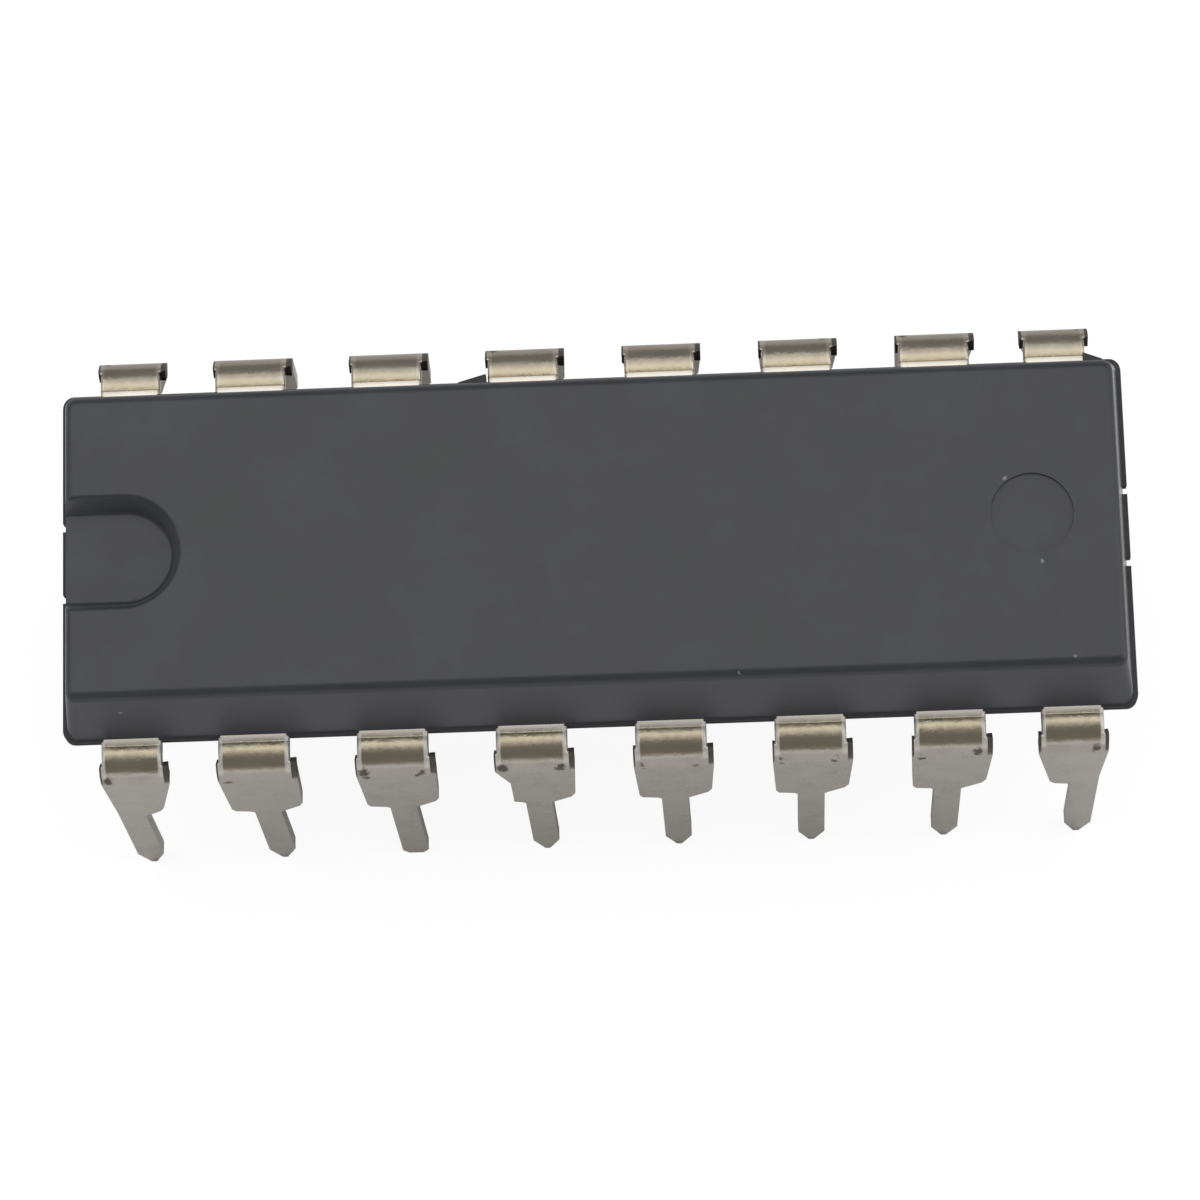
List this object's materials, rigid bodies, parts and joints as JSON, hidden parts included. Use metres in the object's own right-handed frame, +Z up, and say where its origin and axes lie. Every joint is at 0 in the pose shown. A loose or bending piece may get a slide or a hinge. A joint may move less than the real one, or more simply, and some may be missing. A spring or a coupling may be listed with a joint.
{
  "type": "dual in-line integrated circuit",
  "caption": "Moulded integrated circuit package with two rows of formed leads for through holes or a socket, and its lead frame, die and bond wires inside.",
  "frame": {"origin": "midway between the two rows of lead tips, in the plane that the tips stand on", "axes": "+X along the body, away from the pin 1 recess; +Z up, out of the body's top face; -Y is the row of leads 1 to 8"},
  "size_m": [0.0196, 0.009, 0.0071],
  "materials": {
    "moulding_compound": "fine matt, as moulded",
    "tinned_strip": "dull tin plate on stamped strip",
    "bare_strip": "rolled copper alloy strip",
    "silver_epoxy": "cured paste",
    "silicon": "polished wafer",
    "gold_wire": "drawn wire"
  },
  "bodies": {
    "root": {"moulded_body": "moulding_compound", "lead_1": "tinned_strip", "lead_2": "tinned_strip", "lead_3": "tinned_strip", "lead_4": "tinned_strip", "lead_5": "tinned_strip", "lead_6": "tinned_strip", "lead_7": "tinned_strip", "lead_8": "tinned_strip", "lead_9": "tinned_strip", "lead_10": "tinned_strip", "lead_11": "tinned_strip", "lead_12": "tinned_strip", "lead_13": "tinned_strip", "lead_14": "tinned_strip", "lead_15": "tinned_strip", "lead_16": "tinned_strip", "die_pad": "bare_strip", "die_attach": "silver_epoxy", "die": "silicon", "bond_wire_1": "gold_wire", "bond_wire_2": "gold_wire", "bond_wire_3": "gold_wire", "bond_wire_4": "gold_wire", "bond_wire_5": "gold_wire", "bond_wire_6": "gold_wire", "bond_wire_7": "gold_wire", "bond_wire_8": "gold_wire", "bond_wire_9": "gold_wire", "bond_wire_10": "gold_wire", "bond_wire_11": "gold_wire", "bond_wire_12": "gold_wire", "bond_wire_13": "gold_wire", "bond_wire_14": "gold_wire", "bond_wire_15": "gold_wire", "bond_wire_16": "gold_wire"}
  },
  "joints": []
}
